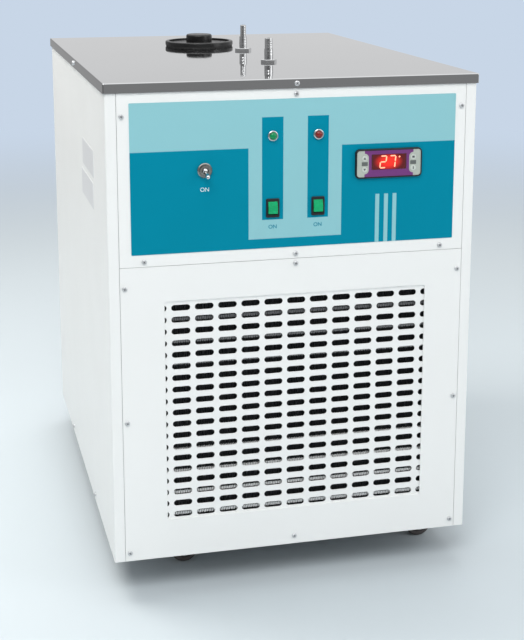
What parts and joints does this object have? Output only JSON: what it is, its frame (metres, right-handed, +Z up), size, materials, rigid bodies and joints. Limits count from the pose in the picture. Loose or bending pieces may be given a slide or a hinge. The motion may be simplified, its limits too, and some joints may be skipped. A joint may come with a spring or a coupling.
{
  "type": "recirculating chiller",
  "caption": "Floor-standing sheet-steel chiller on casters with a polished lid, filler cap, hose nipples, two-tone control fascia and a slotted air intake.",
  "frame": {"origin": "middle of the bounding box, on the floor under the casters", "axes": "+Z up, front with the controls towards -Y, +X to the right seen from the front"},
  "size_m": [0.4278, 0.6128, 0.6216],
  "materials": {
    "powder_white": "satin powder coat",
    "polished_steel": "polished stainless",
    "stainless": "plain stainless",
    "zinc_steel": "zinc plated",
    "chrome": "bright plated",
    "overlay_teal": "printed film",
    "black_plastic": "moulded",
    "black_gloss": "moulded, glossy",
    "rubber_black": "moulded",
    "wheel_rubber": "moulded",
    "rocker_green": "moulded",
    "lens_green": "clear moulded",
    "lens_red": "clear moulded",
    "face_purple": "printed film",
    "display_red": "tinted window",
    "key_grey": "moulded",
    "copper": "drawn tube",
    "aluminium_fin": "mill finish",
    "foam": "closed-cell foam",
    "hose_clear": "soft hose",
    "motor_paint": "black enamel"
  },
  "bodies": {
    "cabinet": {"base_pan": "zinc_steel", "left_side_panel": "powder_white", "right_side_panel": "powder_white", "rear_panel": "powder_white", "front_frame": "zinc_steel", "upper_front_panel": "powder_white", "lower_front_panel": "powder_white", "vent_grille": "powder_white", "lid": "polished_steel", "panel_screws": "chrome", "fascia_overlay": "overlay_teal", "toggle_body": "black_plastic", "toggle_bushing": "chrome", "lamp_bezels": "chrome", "rocker_cases": "black_plastic", "pump_lamp_lens": "lens_green", "cooling_lamp_lens": "lens_red", "controller_case": "black_plastic", "controller_face": "face_purple", "controller_display": "display_red", "filler_neck": "stainless", "cap_gasket": "rubber_black", "supply_nipple": "chrome", "return_nipple": "chrome", "nipple_locknuts": "zinc_steel", "reservoir": "stainless", "tank_insulation": "foam", "reservoir_shelf": "zinc_steel", "evaporator_coil": "copper", "temperature_probe": "stainless", "compressor": "motor_paint", "compressor_mounts": "rubber_black", "condenser": "aluminium_fin", "fan_shroud": "zinc_steel", "fan_motor": "motor_paint", "pump_motor": "motor_paint", "pump_head": "black_plastic", "refrigerant_lines": "copper", "water_hoses": "hose_clear", "power_inlet": "black_plastic", "electrical_box": "zinc_steel", "caster_plates": "zinc_steel"},
    "toggle_lever": {"toggle_lever": "chrome"},
    "pump_rocker": {"pump_rocker": "rocker_green"},
    "cooling_rocker": {"cooling_rocker": "rocker_green"},
    "up_key": {"up_key": "key_grey"},
    "down_key": {"down_key": "key_grey"},
    "set_key": {"set_key": "key_grey"},
    "power_key": {"power_key": "key_grey"},
    "filler_cap": {"filler_cap": "black_gloss"},
    "fan": {"fan_blades": "aluminium_fin"},
    "pump_rotor": {"pump_impeller": "black_plastic"},
    "front_left_fork": {"front_left_fork": "zinc_steel"},
    "front_left_wheel": {"front_left_wheel": "wheel_rubber"},
    "front_right_fork": {"front_right_fork": "zinc_steel"},
    "front_right_wheel": {"front_right_wheel": "wheel_rubber"},
    "rear_left_fork": {"rear_left_fork": "zinc_steel"},
    "rear_left_wheel": {"rear_left_wheel": "wheel_rubber"},
    "rear_right_fork": {"rear_right_fork": "zinc_steel"},
    "rear_right_wheel": {"rear_right_wheel": "wheel_rubber"}
  },
  "joints": [
    {"name": "toggle_flip", "type": "hinge", "parent": "cabinet", "child": "toggle_lever", "pos_m": [-0.1029, -0.28803, 0.4908], "axis": [-1, 0, 0], "range_deg": [0, 30]},
    {"name": "pump_rock", "type": "hinge", "parent": "cabinet", "child": "pump_rocker", "pos_m": [-0.0268, -0.28403, 0.4454], "axis": [1, 0, 0], "range_deg": [0, 18]},
    {"name": "cooling_rock", "type": "hinge", "parent": "cabinet", "child": "cooling_rocker", "pos_m": [0.025, -0.28403, 0.4454], "axis": [1, 0, 0], "range_deg": [0, 18]},
    {"name": "up_press", "type": "slide", "parent": "cabinet", "child": "up_key", "axis": [0, 1, 0], "range_m": [0, 0.0004], "stiffness_N_per_m": 2000},
    {"name": "down_press", "type": "slide", "parent": "cabinet", "child": "down_key", "axis": [0, 1, 0], "range_m": [0, 0.0004], "stiffness_N_per_m": 2000},
    {"name": "set_press", "type": "slide", "parent": "cabinet", "child": "set_key", "axis": [0, 1, 0], "range_m": [0, 0.0004], "stiffness_N_per_m": 2000},
    {"name": "power_press", "type": "slide", "parent": "cabinet", "child": "power_key", "axis": [0, 1, 0], "range_m": [0, 0.0004], "stiffness_N_per_m": 2000},
    {"name": "cap_turn", "type": "hinge", "parent": "cabinet", "child": "filler_cap", "pos_m": [-0.0248, 0.13147, 0.588], "axis": [0, 0, 1], "range_deg": [0, 90]},
    {"name": "fan_spin", "type": "hinge", "parent": "cabinet", "child": "fan", "pos_m": [0, -0.20453, 0.21975], "axis": [0, -1, 0], "continuous": true},
    {"name": "pump_spin", "type": "hinge", "parent": "cabinet", "child": "pump_rotor", "pos_m": [0.12, -0.05453, 0.102], "axis": [0, -1, 0], "continuous": true},
    {"name": "front_left_swivel", "type": "hinge", "parent": "cabinet", "child": "front_left_fork", "pos_m": [-0.149, -0.20453, 0.039], "axis": [0, 0, 1], "continuous": true},
    {"name": "front_left_roll", "type": "hinge", "parent": "front_left_fork", "child": "front_left_wheel", "pos_m": [-0.117, -0.20453, 0.016], "axis": [0, 1, 0], "continuous": true},
    {"name": "front_right_swivel", "type": "hinge", "parent": "cabinet", "child": "front_right_fork", "pos_m": [0.149, -0.20453, 0.039], "axis": [0, 0, 1], "continuous": true},
    {"name": "front_right_roll", "type": "hinge", "parent": "front_right_fork", "child": "front_right_wheel", "pos_m": [0.181, -0.20453, 0.016], "axis": [0, 1, 0], "continuous": true},
    {"name": "rear_left_swivel", "type": "hinge", "parent": "cabinet", "child": "rear_left_fork", "pos_m": [-0.149, 0.22247, 0.039], "axis": [0, 0, 1], "continuous": true},
    {"name": "rear_left_roll", "type": "hinge", "parent": "rear_left_fork", "child": "rear_left_wheel", "pos_m": [-0.117, 0.22247, 0.016], "axis": [0, 1, 0], "continuous": true},
    {"name": "rear_right_swivel", "type": "hinge", "parent": "cabinet", "child": "rear_right_fork", "pos_m": [0.149, 0.22247, 0.039], "axis": [0, 0, 1], "continuous": true},
    {"name": "rear_right_roll", "type": "hinge", "parent": "rear_right_fork", "child": "rear_right_wheel", "pos_m": [0.181, 0.22247, 0.016], "axis": [0, 1, 0], "continuous": true}
  ]
}
